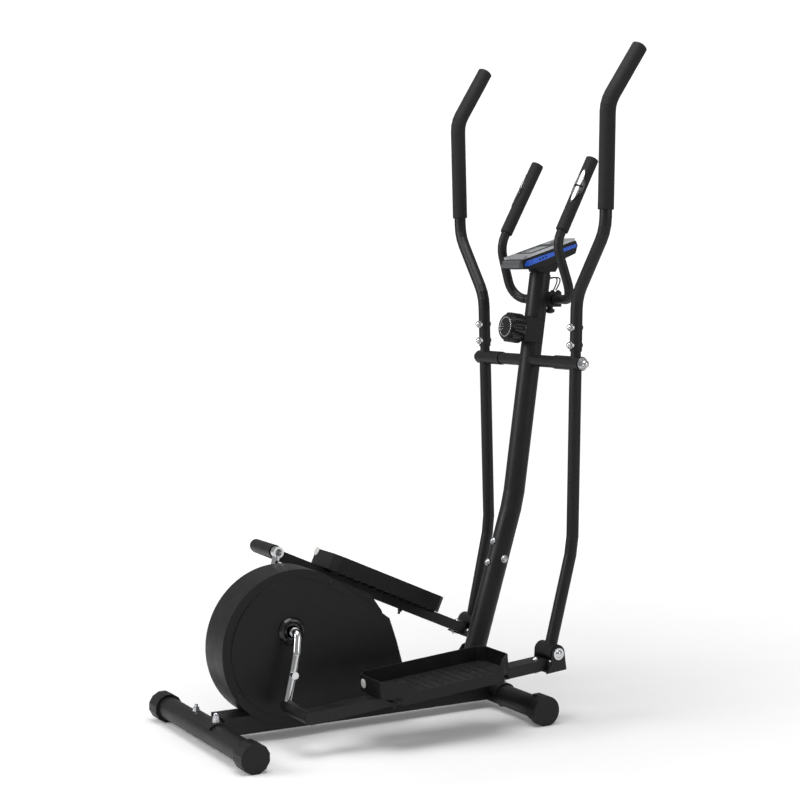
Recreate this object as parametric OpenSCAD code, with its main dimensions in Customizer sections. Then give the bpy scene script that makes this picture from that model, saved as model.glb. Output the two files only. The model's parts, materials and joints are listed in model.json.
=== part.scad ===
// Elliptical trainer: a belt drive in a round housing, two swing arms with
// pedal arms, a mast with a console and a fixed handlebar. Millimetres, +X
// is the way the user faces, +Y is the user's left and the floor is z = 0.

/* [Base frame] */
// Distance between the two floor tubes
wheelbase = 723; // [700:1:740]
// Length of the rear floor tube over its caps
rear_width = 509; // [480:1:530]
// Length of the front floor tube over its caps
front_width = 472; // [450:1:500]
// Diameter of the floor tubes and the mast
frame_tube_d = 50; // [48:0.5:52]
// Height of the floor tube axis above the floor
floor_axis_z = 33; // [32:0.5:35]
// Width of the base rail
rail_w = 70; // [64:1:74]
// Height of the base rail section
rail_h = 40; // [36:1:42]
// Underside of the base rail above the floor
rail_z = 20; // [18:1:22]
// Length of each floor tube cap
cap_len = 42; // [36:1:50]
// Spacing of the two bolts in each floor tube
floor_bolt_gap = 108; // [96:2:116]

/* [Mast] */
// Height of the bend in the mast
mast_bend_z = 480; // [460:5:500]
// Distance of the mast bend ahead of the front floor tube
mast_bend_ahead = 63; // [55:1:70]
// Forward lean of the lower mast in degrees
mast_lean_low = 17; // [15:0.5:18]
// Forward lean of the upper mast in degrees
mast_lean_high = 7.9; // [7:0.1:9]
// Height of the joint between mast stub and upper mast
mast_joint_z = 304; // [290:2:320]
// Height of the mast top
mast_top_z = 1012; // [1005:1:1016]

/* [Crank drive] */
// Crank axle distance ahead of the rear floor tube
crank_ahead = 181; // [175:1:190]
// Crank axle height
crank_z = 237; // [232:1:242]
// Crank throw, axle to pedal pin
crank_throw = 154; // [148:1:158]
// Right crank angle at rest, from straight ahead
crank_angle = -103; // [-110:1:-96]
// Radius of the belt pulley on the crank
pulley_r = 120; // [110:1:122]
// Radius of the small pulley on the flywheel
pinion_r = 22; // [18:1:26]
// Radius of the flywheel
flywheel_r = 88; // [80:1:90]

/* [Housing] */
// Radius of the round part of the housing
drum_r = 172; // [168:1:174]
// Height of the middle of the round part
drum_z = 199; // [196:1:202]
// Half width of the housing
housing_half = 46; // [44:0.5:50]
// Wall of the plastic shells
shell_wall = 3; // [2.5:0.5:3.5]

/* [Swing arms] */
// Height of the swing arm axle
pivot_z = 809; // [800:1:820]
// Swing arm axle distance ahead of the front floor tube
pivot_ahead = 105; // [103:0.5:107]
// Swing arm distance from the middle of the machine
swing_y = 190; // [184:1:196]
// Upper grip distance from the middle of the machine
grip_y = 293; // [280:1:305]
// Swing arm tube diameter
arm_d = 28; // [26:1:30]
// Drop from the axle to the pedal arm pivot
swing_drop = 652.5; // [645:0.5:660]
// Rearward offset of the pedal arm pivot
swing_back = 58; // [52:1:62]
// Outside diameter of the foam on the upper grips
foam_d = 36; // [32:1:38]

/* [Pedal arms] */
// Pedal pin to swing arm pivot
rod_len = 619; // [612:1:625]
// Width of the pedal arm tube
pedal_arm_w = 40; // [34:1:42]
// Height of the pedal arm tube
pedal_arm_h = 25; // [22:1:28]
// Length of the foot tray
tray_len = 324; // [300:2:340]
// Width of the foot tray
tray_w = 143; // [130:1:150]
// Height of the tray walls
tray_h = 38; // [32:1:44]

/* [Handlebar and console] */
// Distance of each fixed grip from the middle
bar_half = 113; // [105:1:120]
// Fixed handlebar tube diameter
bar_d = 22; // [20:0.5:24]
// Foam diameter on the fixed grips
bar_foam_d = 30; // [28:1:33]
// Width of the console
console_w = 80; // [74:1:86]

/* [Hidden] */
$fn = 48;
fit = 0.05;      // running and push clearance, per side
gap = 0.4;       // clearance between parts that pass each other
thin = 2;        // tube wall
bolt_r = 4;
hex_r = 7.5;

front_reach = 574.7;   // foremost point of the grips ahead of mid wheelbase
cap_flats = 12;
cap_flat_r = 31.5;
cap_r = cap_flat_r / cos(180 / cap_flats);
mid_x = (wheelbase / 2 + cap_r * cos(180 / cap_flats) - front_reach) / 2;
rear_x = mid_x - wheelbase / 2;
front_x = mid_x + wheelbase / 2;
tube_r = frame_tube_d / 2;
rail_top = rail_z + rail_h;

bend_x = front_x + mast_bend_ahead;
function mast_x(z) = bend_x + (z - mast_bend_z)
    * tan(z < mast_bend_z ? mast_lean_low : mast_lean_high);
function mast_at(z) = [mast_x(z), 0, z];
mast_low_dir = [sin(mast_lean_low), 0, cos(mast_lean_low)];
mast_high_dir = [sin(mast_lean_high), 0, cos(mast_lean_high)];

crank_x = rear_x + crank_ahead;
drum_x = crank_x + 10;
fly_x = crank_x + 155;
fly_z = crank_z - 87;
pivot_x = front_x + pivot_ahead;

// Rest pose of the two sides, from the closed linkage.
function pin_pos(side) = [crank_x - side * crank_throw * cos(crank_angle),
                          crank_z - side * crank_throw * sin(crank_angle)];
function meet(p, q, a, b) = let (d = norm(q - p), u = (q - p) / d,
    t = (d * d + a * a - b * b) / (2 * d), h = sqrt(a * a - t * t))
    p + u * t + [u[1], -u[0]] * h;
swing_len = norm([swing_back, swing_drop]);
function foot_pos(side) = meet(pin_pos(side), [pivot_x, pivot_z], rod_len,
                               swing_len);
function lean(side) = let (q = foot_pos(side))
    atan2(pivot_x - q[0], pivot_z - q[1]) - atan2(swing_back, swing_drop);
function rod_tilt(side) = let (p = pin_pos(side), q = foot_pos(side))
    atan2(q[1] - p[1], q[0] - p[0]);

eye_y = 95;
eye_w = 16;
eye_r = 13;
pin_r = 8;
sleeve_in = 106;
sleeve_out = 209;
sleeve_r = 15;
ear_gap = 31.4;      // half the space between the clevis ears
ear_t = 4;
foot_sleeve_r = 20;
arm_slope = -1.85;   // pedal arm against the line between its two pivots
arm_top = 9;
tray_floor = 5;
tray_start = 160;
tray_wall = 3;

// ---------------------------------------------------------------- helpers

// Turns +Z onto direction d and moves to p.
module aim(p, d) {
    translate(p)
        rotate([0, acos(d[2] / norm(d)), atan2(d[1], d[0])]) children();
}

// Straight round bar from a to b.
module bar(a, b, r) {
    aim(a, b - a) cylinder(h = norm(b - a), r = r);
}

function unit(v) = v / norm(v);
function turn(a, b, c) = acos(max(-1, min(1, unit(b - a) * unit(c - b))));
function cut(a, b, c, R) = R * tan(turn(a, b, c) / 2);

// Points along the bend where the path a-b-c turns at b.
function bend_points(a, b, c, R) = let (u = unit(b - a), v = unit(c - b),
    m = unit(v - (u * v) * u), w = turn(a, b, c), n = ceil(w / 14),
    centre = b - u * cut(a, b, c, R) + m * R)
    [for (j = [0 : n]) centre + R * (sin(w * j / n) * u - cos(w * j / n) * m)];

knuckle = 0.15;      // how far a ball in a tube bend stands proud

// Round bar along a list of points, bent to the radii given at the corners.
module pipe(pts, bends, r) {
    last = len(pts) - 1;
    route = concat([pts[0]],
        [for (i = [1 : last - 1])
            for (q = bend_points(pts[i - 1], pts[i], pts[i + 1],
                                 bends[i - 1])) q],
        [pts[last]]);
    for (i = [0 : len(route) - 2]) bar(route[i], route[i + 1], r);
    for (i = [1 : len(route) - 2])
        translate(route[i]) sphere(r = r + knuckle);
}

// Cap nut standing on z = 0, with a blind hole for the bolt.
module cap_nut(r = bolt_r) {
    difference() {
        union() {
            cylinder(h = r * 1.4, r = r * 1.85, $fn = 6);
            translate([0, 0, r * 1.4]) cylinder(h = r * 0.5, r = r * 1.45);
            translate([0, 0, r * 1.9])
                intersection() {
                    sphere(r = r * 1.45);
                    cylinder(h = r * 2, r = r * 2);
                }
        }
        translate([0, 0, -1]) cylinder(h = r * 2 + 1, r = r + fit);
    }
}

// Washer on z = 0.
module washer(r_out, r_in, t) {
    difference() {
        cylinder(h = t, r = r_out);
        translate([0, 0, -1]) cylinder(h = t + 2, r = r_in);
    }
}

// Low round bolt head, its crown up, standing on z = 0.
module round_head(r, h) {
    R = (r * r + h * h) / (2 * h);
    intersection() {
        translate([0, 0, h - R]) sphere(r = R);
        cylinder(h = h + 1, r = r + 1);
    }
}

// Plate in the XZ plane, from a polygon of [x, z], centred on y.
module side_plate(y, t) {
    translate([0, y + t / 2, 0]) rotate([90, 0, 0])
        linear_extrude(height = t) children();
}

// Moves to the frame of one swing arm: axle at the origin, arm upright.
module swing_frame(side) {
    translate([pivot_x, 0, pivot_z]) rotate([0, lean(side), 0]) children();
}

// Moves to the frame of one pedal arm: rear pin at the origin, +X along it.
module pedal_frame(side) {
    p = pin_pos(side);
    translate([p[0], 0, p[1]]) rotate([0, -rod_tilt(side), 0]) children();
}

// Moves on to the pedal arm tube itself, its top face at z = 0.
module arm_frame(side) {
    pedal_frame(side) translate([0, side * swing_y, arm_top])
        rotate([0, -arm_slope, 0]) children();
}

// ------------------------------------------------------------- base frame

saddle_half = 68;
saddle_t = 4;
saddle_r = tube_r + 0.3;

module saddle_shape(x, to_rail) {
    start = to_rail > 0 ? 12 : 40;
    translate([x, saddle_half, floor_axis_z]) rotate([90, 0, 0])
        linear_extrude(height = 2 * saddle_half)
            intersection() {
                difference() {
                    circle(r = saddle_r + saddle_t, $fn = 96);
                    circle(r = saddle_r, $fn = 96);
                }
                polygon([[0, 0], [60 * cos(start), 60 * sin(start)], [60, 60],
                         [-60, 60],
                         [60 * cos(start + 128), 60 * sin(start + 128)]]);
            }
}

module floor_bolts_at() {
    for (x = [rear_x, front_x], y = [-floor_bolt_gap / 2, floor_bolt_gap / 2])
        translate([x, y, 0]) children();
}

module floor_bolt_holes(r) {
    floor_bolts_at() cylinder(h = 80, r = r);
}

// Box section rail with a saddle welded on each end.
module base_rail() {
    rail_len = wheelbase - 2 * (tube_r + 1.5);
    color("#1b1c1e") difference() {
        union() {
            difference() {
                translate([rear_x + tube_r + 1.5, -rail_w / 2, rail_z])
                    cube([rail_len, rail_w, rail_h]);
                translate([rear_x + tube_r + 5, -rail_w / 2 + 2.5,
                           rail_z + 2.5])
                    cube([rail_len - 7, rail_w - 5, rail_h - 5]);
            }
            saddle_shape(rear_x, 1);
            saddle_shape(front_x, -1);
        }
        floor_bolt_holes(bolt_r + gap);
    }
}

// Lower mast: foot tube, gusset behind it and the spigot for the upper mast.
module mast_stub() {
    foot = mast_at(rail_top);
    joint = mast_at(mast_joint_z);
    spigot_top = joint + mast_low_dir * 105;
    color("#1b1c1e") difference() {
        union() {
            difference() {
                bar(foot - mast_low_dir * 20, joint, tube_r);
                translate([foot[0] - 100, -100, rail_top - 100])
                    cube([200, 200, 100 + gap / 4]);
            }
            bar(joint - mast_low_dir * 60, spigot_top, tube_r - thin - 0.2);
            for (y = [-21, 21])
                side_plate(y, 4)
                    polygon([[foot[0] - 62, rail_top + gap / 4],
                             [foot[0], rail_top + gap / 4],
                             [mast_x(rail_top + 92), rail_top + 92],
                             [mast_x(rail_top + 92) - 26, rail_top + 84]]);
        }
        bar(foot - mast_low_dir * 40, joint - mast_low_dir * 62,
            tube_r - thin);
        bar(joint - mast_low_dir * 64, spigot_top + mast_low_dir,
            tube_r - 2 * thin - 0.2);
        mast_bolt_holes(bolt_r + fit);
    }
}

// Round floor tube with end plugs left to the caps.
module floor_tube(x, width) {
    difference() {
        translate([x, width / 2 - 4, floor_axis_z]) rotate([90, 0, 0])
            cylinder(h = width - 8, r = tube_r, $fn = 96);
        translate([x, width / 2, floor_axis_z]) rotate([90, 0, 0])
            cylinder(h = width, r = tube_r - thin, $fn = 96);
        floor_bolt_holes(bolt_r + gap);
    }
}

module rear_stabiliser() {
    color("#1b1c1e") floor_tube(rear_x, rear_width);
}

module front_stabiliser() {
    color("#1b1c1e") floor_tube(front_x, front_width);
}

// Many-sided cap turned by hand to level the machine. Its bore sits off
// centre, so each flat stands the tube at a different height.
module leveller(side) {
    end = rear_width / 2;
    color("#151516") difference() {
        translate([rear_x, side * end, cap_flat_r])
            rotate([side * 90, 0, 0]) rotate([0, 0, 180 / cap_flats])
                cylinder(h = cap_len, r = cap_r, $fn = cap_flats);
        translate([rear_x, side * (end - 3.6), floor_axis_z])
            rotate([side * 90, 0, 0])
                cylinder(h = cap_len, r = tube_r + fit, $fn = 96);
    }
}

module leveller_right() {
    leveller(-1);
}

module leveller_left() {
    leveller(1);
}

// Round front caps with a raised collar and a flat foot underneath.
module front_caps() {
    r = floor_axis_z + 1;
    color("#151516") for (side = [-1, 1]) {
        end = side * front_width / 2;
        difference() {
            union() {
                translate([front_x, end, floor_axis_z])
                    rotate([side * 90, 0, 0])
                        cylinder(h = 20, r = r, $fn = 96);
                translate([front_x, end - side * 20, floor_axis_z])
                    rotate([side * 90, 0, 0])
                        cylinder(h = cap_len - 20, r = r - 5, $fn = 96);
                translate([front_x - 9, side > 0 ? end - cap_len : end + 20,
                           floor_axis_z + r - 6])
                    cube([18, cap_len - 20, 5]);
            }
            translate([front_x, end - side * 3.6, floor_axis_z])
                rotate([side * 90, 0, 0])
                    cylinder(h = cap_len, r = tube_r + fit, $fn = 96);
            translate([front_x - 60, -400, -20]) cube([120, 800, 20]);
        }
    }
}

nut_seat_z = floor_axis_z + saddle_r + saddle_t;

// Coach bolts up through the floor tubes and the saddles.
module stabiliser_bolts() {
    color("#8d9093") floor_bolts_at() {
        translate([0, 0, floor_axis_z - tube_r - 3])
            cylinder(h = nut_seat_z + 14 - (floor_axis_z - tube_r - 3),
                     r = bolt_r);
        translate([0, 0, floor_axis_z - tube_r - 0.1]) mirror([0, 0, 1])
            round_head(9, 4.4);
    }
}

// Washers and nuts on the saddles: cap nuts, and one plain nut rear left.
module stabiliser_nuts() {
    color("#b9bcc0")
        for (x = [rear_x, front_x], s = [-1, 1])
            translate([x, s * floor_bolt_gap / 2, nut_seat_z]) {
                washer(9, bolt_r + fit, 1.5);
                if (x == rear_x && s > 0)
                    translate([0, 0, 1.6]) difference() {
                        cylinder(h = 6, r = hex_r, $fn = 6);
                        translate([0, 0, -1])
                            cylinder(h = 8, r = bolt_r + fit);
                    }
                else
                    translate([0, 0, 7]) cap_nut();
                if (!(x == rear_x && s > 0))
                    washer(hex_r, bolt_r + fit, 7);
            }
}

// ------------------------------------------------------------------- mast

bar_r = 14;
cross_half = 113;
axle_r = 8;
axle_end = 216;

// Upper mast: bent tube with the cross tube and its two swing axles.
module upper_mast() {
    joint = mast_at(mast_joint_z);
    top = mast_at(mast_top_z);
    bend = [bend_x, 0, mast_bend_z];
    start = joint + mast_low_dir * gap;
    color("#1b1c1e") difference() {
        union() {
            pipe([start, bend, top], [260], tube_r);
            translate([pivot_x, cross_half, pivot_z]) rotate([90, 0, 0])
                cylinder(h = 2 * cross_half, r = bar_r);
            translate([pivot_x, axle_end, pivot_z]) rotate([90, 0, 0])
                cylinder(h = 2 * axle_end, r = axle_r);
            translate([pivot_x, axle_end + 16, pivot_z]) rotate([90, 0, 0])
                cylinder(h = 2 * (axle_end + 16), r = 6);
        }
        difference() {
            pipe([start - mast_low_dir, bend, top + mast_high_dir], [260],
                 tube_r - thin);
            translate([pivot_x, 100, pivot_z]) rotate([90, 0, 0])
                cylinder(h = 200, r = bar_r);
        }
        mast_bolt_holes(bolt_r + fit);
        lead_hole();
    }
}

// Two bolts at the back of the mast joint and one in each side.
module mast_bolts_at() {
    for (z = [330, 379])
        aim(mast_at(z), [-cos(mast_lean_low), 0, sin(mast_lean_low)])
            children();
    for (s = [-1, 1])
        aim(mast_at(346), [0, s, 0]) children();
}

module mast_bolt_holes(r) {
    mast_bolts_at() translate([0, 0, 12]) cylinder(h = 30, r = r);
}

module mast_bolts() {
    color("#b9bcc0") mast_bolts_at() {
        translate([0, 0, 16]) cylinder(h = tube_r - 14, r = bolt_r);
        translate([0, 0, tube_r + 0.1]) cylinder(h = 2, r = 9);
        translate([0, 0, tube_r + 2]) round_head(7.5, 5);
    }
}

// Washer and cap nut on each end of the swing axles.
module pivot_nuts() {
    color("#c9ccd0") for (s = [-1, 1])
        aim([pivot_x, s * (axle_end + fit), pivot_z], [0, s, 0]) {
            washer(14, 6 + fit, 2);
            translate([0, 0, 2.05]) difference() {
                union() {
                    cylinder(h = 10, r = 10, $fn = 6);
                    translate([0, 0, 10]) round_head(8.4, 6);
                    cylinder(h = 10, r = 8.4);
                }
                translate([0, 0, -1]) cylinder(h = 15.2, r = 6 + fit);
            }
        }
}

// -------------------------------------------------------------- tension

knob_z = 878;
knob_dir = [-cos(mast_lean_high), 0, sin(mast_lean_high)];
knob_r = 35;
knob_len = 38;
collar_back = 42;

// Box saddle round the back of the mast that carries the tension knob.
module tension_collar() {
    color("#1a1a1b") aim(mast_at(knob_z), mast_high_dir) difference() {
        translate([-collar_back, -28.5, -28]) cube([collar_back + 10, 57, 56]);
        translate([0, 0, -40]) cylinder(h = 80, r = tube_r + 0.1, $fn = 96);
        translate([-collar_back - 1, 0, 0]) rotate([0, 90, 0])
            cylinder(h = 15, r = 6 + fit);
    }
}

// Lobed knob on its spindle.
module tension_knob() {
    base = mast_at(knob_z) + knob_dir * (collar_back + gap);
    color("#161617") aim(base, knob_dir) {
        difference() {
            union() {
                cylinder(h = knob_len - 8, r = knob_r, $fn = 96);
                cylinder(h = knob_len - 4, r = knob_r - 4, $fn = 96);
                cylinder(h = knob_len, r = knob_r - 7, $fn = 96);
            }
            for (i = [0 : 11])
                rotate([0, 0, i * 30]) translate([knob_r + 3, 0, 6])
                    cylinder(h = knob_len, r = 6, $fn = 24);
            translate([0, 0, knob_len - 1.5]) difference() {
                cylinder(h = 3, r = knob_r - 11);
                cylinder(h = 3, r = knob_r - 14);
            }
            translate([0, 0, -1]) difference() {
                cylinder(h = 12, r = knob_r - 5);
                translate([0, 0, -1]) cylinder(h = 20, r = 12);
            }
        }
        translate([0, 0, -12]) cylinder(h = 13, r = 6);
    }
}

// ------------------------------------------------------------------ drive

plate_y = 26;
bearing_r = 21;
axle22 = 11;
fly_axle_r = 6;
magnet_pin = [fly_x + 82, fly_z - 58];
magnet_pin_r = 4;

// Uprights on the rail that carry the crank, flywheel and magnets.
module drive_frame() {
    color("#2a2b2d") difference() {
        union() {
            for (y = [-plate_y, plate_y]) {
                side_plate(y, 4) polygon([[crank_x - 62, rail_top + 0.1],
                    [crank_x + 62, rail_top + 0.1], [crank_x + 27, crank_z],
                    [crank_x - 27, crank_z]]);
                side_plate(y, 4) polygon([[fly_x - 40, rail_top + 0.1],
                    [fly_x + 40, rail_top + 0.1], [fly_x + 15, fly_z],
                    [fly_x - 15, fly_z]]);
                side_plate(y, 4) polygon([[magnet_pin[0] - 18, rail_top + 0.1],
                    [magnet_pin[0] + 18, rail_top + 0.1],
                    [magnet_pin[0] + 8, magnet_pin[1]],
                    [magnet_pin[0] - 8, magnet_pin[1]]]);
                translate([fly_x, y + 2, fly_z]) rotate([90, 0, 0])
                    cylinder(h = 4, r = 15);
                translate([magnet_pin[0], y + 2, magnet_pin[1]])
                    rotate([90, 0, 0]) cylinder(h = 4, r = 8);
                translate([crank_x, y + 7, crank_z]) rotate([90, 0, 0])
                    cylinder(h = 14, r = bearing_r + 6);
            }
            for (x = [crank_x - 62, crank_x + 42, fly_x - 38])
                translate([x, -plate_y - 2, rail_top + 0.1])
                    cube([20, 2 * plate_y + 4, 3]);
            translate([magnet_pin[0], plate_y + 4, magnet_pin[1]])
                rotate([90, 0, 0])
                    cylinder(h = 2 * plate_y + 8, r = magnet_pin_r);
        }
        translate([crank_x, 60, crank_z]) rotate([90, 0, 0])
            cylinder(h = 120, r = bearing_r + fit);
        translate([fly_x, 60, fly_z]) rotate([90, 0, 0])
            cylinder(h = 120, r = fly_axle_r + fit);
    }
}

// Two ball bearings for the crank, drawn as plain rings.
module crank_bearings() {
    color("#9a9da1") for (y = [-plate_y, plate_y])
        translate([crank_x, y + 6, crank_z]) rotate([90, 0, 0])
            washer(bearing_r, axle22 + fit, 12);
}

function crank_at(s, r, y) = [crank_x - s * cos(crank_angle) * r, s * y,
                              crank_z - s * sin(crank_angle) * r];
crank_r = 9;

// One-piece crank: axle, two bent arms 180 degrees apart, threaded eyes.
module crank() {
    color("#c9ccd0") for (s = [-1, 1]) difference() {
        union() {
            pipe([crank_at(s, 0, 0), crank_at(s, 0, 78), crank_at(s, 40, 91),
                  crank_at(s, crank_throw, eye_y)], [12, 20], crank_r);
            bar(crank_at(s, 0, 0), crank_at(s, 0, 64), axle22);
            aim(crank_at(s, crank_throw, eye_y - eye_w / 2), [0, s, 0])
                cylinder(h = eye_w, r = eye_r);
            aim(crank_at(s, crank_throw * 0.56, eye_y), [0, s, 0])
                cylinder(h = 12, r = 8);
        }
        aim(crank_at(s, crank_throw, eye_y - eye_w), [0, s, 0])
            cylinder(h = 2 * eye_w, r = pin_r);
    }
}

// Grooved belt pulley on the crank axle, with lightening holes.
module drive_pulley() {
    color("#26272a") translate([crank_x, 18, crank_z]) rotate([90, 0, 0])
        difference() {
            union() {
                cylinder(h = 14, r = 22);
                translate([0, 0, 5]) cylinder(h = 4, r = pulley_r - 2);
                difference() {
                    cylinder(h = 14, r = pulley_r, $fn = 128);
                    translate([0, 0, -1])
                        cylinder(h = 16, r = pulley_r - 7, $fn = 128);
                }
            }
            translate([0, 0, -1]) cylinder(h = 16, r = axle22 + fit);
            for (i = [0 : 5])
                rotate([0, 0, i * 60 + 20]) translate([68, 0, -1])
                    cylinder(h = 16, r = 20);
        }
}

// Closed loop round both pulleys, standing off them by extra.
function belt_loop(extra) = let (dx = fly_x - crank_x, dz = fly_z - crank_z,
    a = atan2(dz, dx), w = acos((pulley_r - pinion_r) / norm([dx, dz])))
    concat(
        [for (t = [0 : 36]) let (g = a + w + (360 - 2 * w) * t / 36)
            [crank_x + (pulley_r + extra) * cos(g),
             crank_z + (pulley_r + extra) * sin(g)]],
        [for (t = [0 : 12]) let (g = a - w + 2 * w * t / 12)
            [fly_x + (pinion_r + extra) * cos(g),
             fly_z + (pinion_r + extra) * sin(g)]]);

// Ribbed belt from the crank pulley to the flywheel.
module drive_belt() {
    color("#141414") side_plate(11, 10) difference() {
        polygon(belt_loop(3));
        polygon(belt_loop(0.6));
    }
}

// Flywheel with its small pulley on one hub.
module flywheel() {
    color("#6f7276") translate([fly_x, -2, fly_z]) rotate([90, 0, 0])
        difference() {
            union() {
                cylinder(h = 16, r = flywheel_r, $fn = 128);
                translate([0, 0, -6.5]) cylinder(h = 26, r = 16);
                translate([0, 0, -20]) cylinder(h = 14, r = pinion_r);
                translate([0, 0, -8]) cylinder(h = 3, r = 16);
            }
            translate([0, 0, 3]) cylinder(h = 14, r = flywheel_r - 22);
            translate([0, 0, -30]) cylinder(h = 60, r = fly_axle_r + fit);
        }
    color("#6f7276") translate([fly_x, -5, fly_z]) rotate([90, 0, 0])
        washer(24, fly_axle_r + fit, 14.5);
}

// Fixed flywheel axle with a nut outside each upright.
module flywheel_axle() {
    color("#b9bcc0") translate([fly_x, 0, fly_z]) rotate([90, 0, 0]) {
        translate([0, 0, -36]) cylinder(h = 72, r = fly_axle_r);
        for (s = [-1, 1])
            translate([0, 0, s > 0 ? 28.1 : -34.1])
                cylinder(h = 6, r = 10, $fn = 6);
    }
}

// Curved bracket of magnets that swings towards the flywheel rim.
module magnet_bracket() {
    inner = flywheel_r + 3;
    dx = magnet_pin[0] - fly_x;
    dz = magnet_pin[1] - fly_z;
    color("#3a3c40") difference() {
        union() {
            side_plate(-10, 18) intersection() {
                difference() {
                    translate([fly_x, fly_z])
                        circle(r = inner + 8, $fn = 128);
                    translate([fly_x, fly_z]) circle(r = inner, $fn = 128);
                }
                polygon([[fly_x, fly_z],
                         [fly_x + 140 * cos(-30), fly_z + 140 * sin(-30)],
                         [fly_x + 160, fly_z + 60],
                         [fly_x + 140 * cos(58), fly_z + 140 * sin(58)]]);
            }
            side_plate(-10, 18) polygon([
                [fly_x + dx - 9, fly_z + dz - 4],
                [fly_x + dx + 9, fly_z + dz - 4],
                [fly_x + (inner + 8) * cos(-22),
                 fly_z + (inner + 8) * sin(-22)],
                [fly_x + (inner + 1) * cos(-29),
                 fly_z + (inner + 1) * sin(-29)]]);
            translate([magnet_pin[0], -1, magnet_pin[1]]) rotate([90, 0, 0])
                cylinder(h = 18, r = 9);
        }
        translate([magnet_pin[0], 40, magnet_pin[1]]) rotate([90, 0, 0])
            cylinder(h = 80, r = magnet_pin_r + fit);
    }
}

// ---------------------------------------------------------------- housing

spine_half = 20;
panel_tip = [crank_x + 245, crank_z + 4];
spine_tip = [crank_x + 211, crank_z + 57];

// Where the line from p touches the round part, on its upper side.
function touch(p, R) = let (v = p - [drum_x, drum_z],
    a = atan2(v[1], v[0]) + acos(R / norm(v)))
    [drum_x + R * cos(a), drum_z + R * sin(a)];

// Side view of the housing with these upper corners, smaller by the wall.
// The sloping top edge starts just inside the round part.
module housing_shape(corners, wall) {
    R = drum_r - wall;
    upper = [for (c = corners) c - [wall, wall]];
    translate([drum_x, drum_z]) circle(r = R, $fn = 160);
    polygon(concat([[drum_x, drum_z], touch(upper[0], R - 0.3)], upper, [
        [panel_tip[0] + 18 - wall, panel_tip[1] - 52],
        [panel_tip[0] + 32 - wall, panel_tip[1] - 101],
        [panel_tip[0] + 48 - wall, rail_top],
        [drum_x, rail_top]]));
}

module housing_solid(wall) {
    side_plate(0, 2 * (housing_half - wall))
        housing_shape([panel_tip], wall);
    side_plate(0, 2 * (spine_half - wall))
        housing_shape([spine_tip, panel_tip + [-6, 14]], wall);
}

// Side view of the raised panel that covers most of each side.
module panel_shape() {
    R = drum_r - 21;
    tip = panel_tip - [1, 1];
    translate([drum_x, drum_z]) circle(r = R, $fn = 160);
    polygon([[drum_x, drum_z], touch(tip, R - 0.3), tip,
             [tip[0] + 18, tip[1] - 51], [tip[0] + 32, tip[1] - 100],
             [tip[0] + 47, rail_top + 1], [drum_x, rail_top + 1]]);
}

// One moulded half: thin shell, raised side panel, crank opening.
module housing_half_shell(side) {
    color("#1d1e20") difference() {
        union() {
            housing_solid(0);
            side_plate(side * (housing_half + 0.5), 3) panel_shape();
        }
        housing_solid(shell_wall);
        translate([-600, side > 0 ? -99.8 : -0.1, -10])
            cube([1200, 99.9, 500]);
        translate([-600, -rail_w / 2 - 0.5, -10])
            cube([1200, rail_w + 1, rail_top + 10.4]);
        translate([crank_x, 70, crank_z]) rotate([90, 0, 0])
            cylinder(h = 140, r = 16);
        screws_at(side) translate([0, 0, -20]) cylinder(h = 40, r = 3.1);
    }
}

module screws_at(side) {
    y = side * housing_half;
    for (p = [[drum_x - 134, drum_z - 91], [drum_x + 86, drum_z + 136]])
        translate([p[0], y, p[1]]) rotate([-side * 90, 0, 0]) children();
}

module housing_right() {
    housing_half_shell(-1);
}

module housing_left() {
    housing_half_shell(1);
}

module housing_screws() {
    color("#8d9093") for (s = [-1, 1]) screws_at(s) {
        translate([0, 0, -12]) cylinder(h = 13, r = 3);
        translate([0, 0, 0.1]) round_head(5, 1.8);
    }
}

// Glossy dished cover round each end of the crank axle.
module hub_covers() {
    color("#0f0f10") for (s = [-1, 1])
        translate([crank_x, s * (housing_half + 2.1), crank_z])
            rotate([-s * 90, 0, 0]) rotate_extrude($fn = 96)
                polygon([[14, 0], [31, 0], [31, 3], [27, 9], [23, 10],
                         [18, 6], [14, 6]]);
}

// ---------------------------------------------------------------- console

con_x = bend_x;
con_rise = [146, 46];

// Points of the console side view, from its rear lower edge.
function con(dx, dz) = [con_x + dx, 1022 + dz];

module console_neck() {
    color("#161617") difference() {
        union() {
            side_plate(0, 46) polygon([con(55, 2.2), con(58, -5.6),
                con(102, -5.6), con(116, 17)]);
            aim(mast_at(mast_top_z - 30), mast_high_dir)
                cylinder(h = 42, r = tube_r - thin - 0.1);
        }
        aim(mast_at(mast_top_z - 32), mast_high_dir)
            cylinder(h = 30, r = tube_r - 7);
        lead_hole();
    }
}

// Black body of the console, hollow, open under the silver fascia.
module console_body() {
    color("#1a1a1b") difference() {
        side_plate(0, console_w) polygon([con(0, 2), con(22, 0), con(70, 7),
            con(147, 38), con(153, 57), con(148, 68), con(0, 22)]);
        side_plate(0, console_w - 6) polygon([con(4, 6), con(22, 4),
            con(69, 11), con(143, 41), con(148, 56), con(146, 69.5),
            con(4, 25)]);
        for (s = [-1, 1])
            side_plate(s * console_w / 2, 2.4) trim_shape(0.1);
    }
}

module trim_shape(extra) {
    polygon([con(2 - extra, 7 - extra), con(14, 7 - extra),
             con(149 + extra, 53 - extra), con(150 + extra, 61 + extra),
             con(8, 19 + extra)]);
}

// Blue strip along each side of the console, with three vent slots.
module console_trims() {
    color("#1f4fc0") for (s = [-1, 1]) difference() {
        side_plate(s * (console_w / 2 - 0.6), 1.2) trim_shape(0);
        for (i = [0 : 2])
            side_plate(s * console_w / 2, 6)
                polygon([con(44 + 8 * i, 21 + 2.9 * i),
                         con(48.5 + 8 * i, 22.6 + 2.9 * i),
                         con(48.5 + 8 * i, 26.6 + 2.9 * i),
                         con(44 + 8 * i, 25 + 2.9 * i)]);
    }
}

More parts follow.
